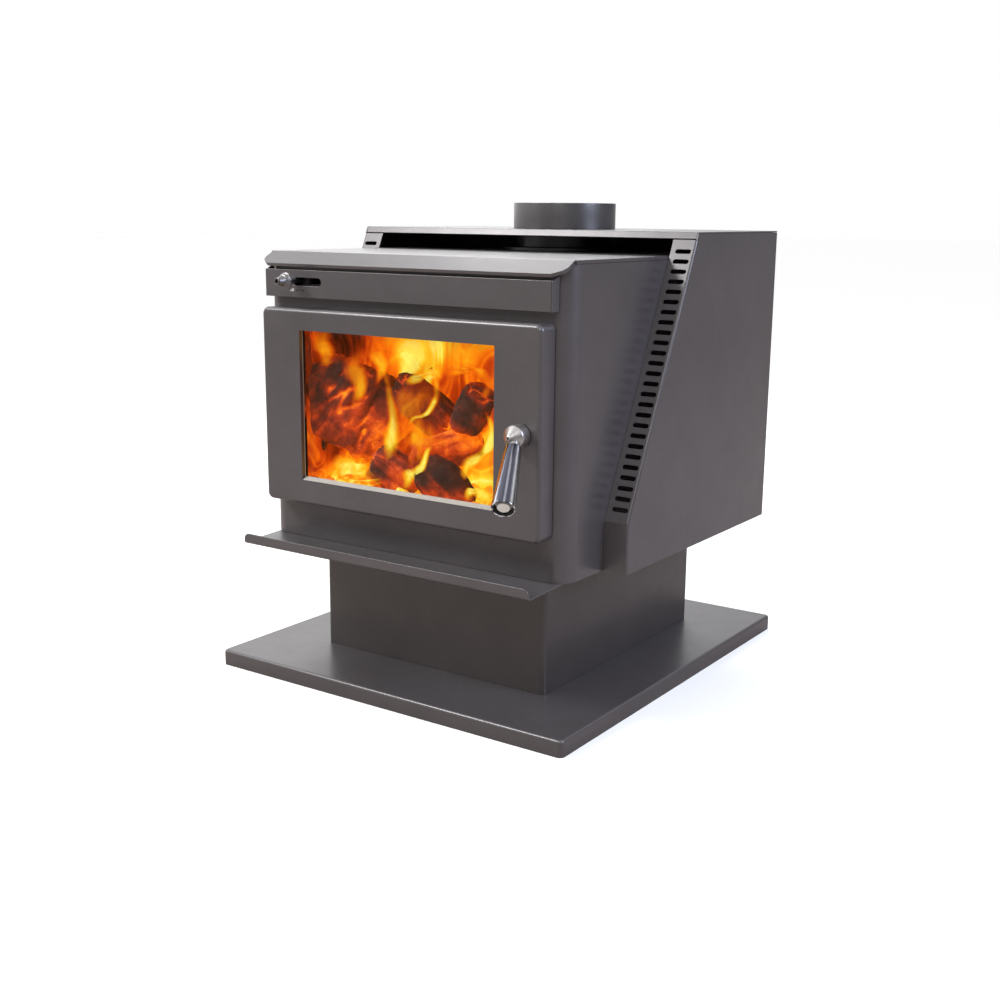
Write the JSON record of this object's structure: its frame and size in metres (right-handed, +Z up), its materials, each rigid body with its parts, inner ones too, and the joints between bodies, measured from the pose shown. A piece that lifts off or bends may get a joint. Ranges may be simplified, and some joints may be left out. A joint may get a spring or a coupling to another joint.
{
  "type": "wood burning stove",
  "caption": "Free-standing wood burning stove on a plinth and hearth, with a hinged glass door, latch handle, air slide, ash lip and slotted convection heat shield.",
  "frame": {"origin": "middle of the hearth's underside, at floor level", "axes": "+X to the right seen from the front, +Y from the door to the back, +Z up"},
  "size_m": [0.624, 0.7525, 0.7112],
  "materials": {
    "charcoal_paint": "satin metallic charcoal stove paint with a fine grain",
    "dark_paint": "satin stove paint, a shade darker",
    "black_paint": "matt black stove paint",
    "bare_steel": "plain steel",
    "satin_steel": "satin turned steel",
    "chrome": "polished chrome",
    "ceramic_glass": "clear ceramic glass",
    "glass_fibre_rope": "woven glass fibre",
    "firebrick": "matt, scorched",
    "insulating_board": "matt"
  },
  "bodies": {
    "stove": {"hearth_tray": "charcoal_paint", "hearth_board": "insulating_board", "plinth": "dark_paint", "plinth_bolt_1": "bare_steel", "plinth_bolt_2": "bare_steel", "plinth_bolt_3": "bare_steel", "plinth_bolt_4": "bare_steel", "firebox": "charcoal_paint", "top_plate": "charcoal_paint", "control_box": "charcoal_paint", "ash_lip": "charcoal_paint", "shield_side_left": "charcoal_paint", "shield_side_right": "charcoal_paint", "shield_back": "charcoal_paint", "shield_top": "charcoal_paint", "shield_standoff_left": "bare_steel", "shield_standoff_right": "bare_steel", "flue_spigot": "black_paint", "flue_collar": "charcoal_paint", "floor_brick_1": "firebrick", "floor_brick_2": "firebrick", "floor_brick_3": "firebrick", "side_brick_left": "firebrick", "side_brick_right": "firebrick", "back_brick": "firebrick", "baffle_plate": "firebrick", "baffle_rail_left": "bare_steel", "baffle_rail_right": "bare_steel", "airwash_box": "black_paint", "hinge_bracket_top": "charcoal_paint", "hinge_pin_top": "bare_steel", "hinge_bracket_bottom": "charcoal_paint", "hinge_pin_bottom": "bare_steel", "latch_keeper": "bare_steel"},
    "door": {"door_skin": "charcoal_paint", "door_liner": "black_paint", "door_rope_seal": "glass_fibre_rope", "glass_gasket": "glass_fibre_rope", "door_glass": "ceramic_glass", "window_sill_tape": "glass_fibre_rope", "glass_clamp_bottom": "bare_steel", "glass_clamp_top": "bare_steel", "glass_screw_1": "bare_steel", "glass_screw_2": "bare_steel", "glass_screw_3": "bare_steel", "glass_screw_4": "bare_steel", "latch_bush": "bare_steel"},
    "latch_handle": {"handle_boss": "satin_steel", "handle_neck": "satin_steel", "handle_grip": "chrome", "grip_end_plug": "satin_steel", "latch_shaft": "bare_steel", "latch_cam": "bare_steel"},
    "air_control": {"air_slide": "bare_steel", "air_rod": "bare_steel", "air_knob": "satin_steel"}
  },
  "joints": [
    {"name": "door_hinge", "type": "hinge", "parent": "stove", "child": "door", "pos_m": [-0.233, -0.2832, 0.413], "axis": [0, 0, -1], "range_deg": [0, 110]},
    {"name": "latch_turn", "type": "hinge", "parent": "door", "child": "latch_handle", "pos_m": [0.2157, -0.2986, 0.4124], "axis": [0, -1, 0], "range_deg": [0, 75]},
    {"name": "air_slide_travel", "type": "slide", "parent": "stove", "child": "air_control", "axis": [1, 0, 0], "range_m": [0, 0.043]}
  ]
}
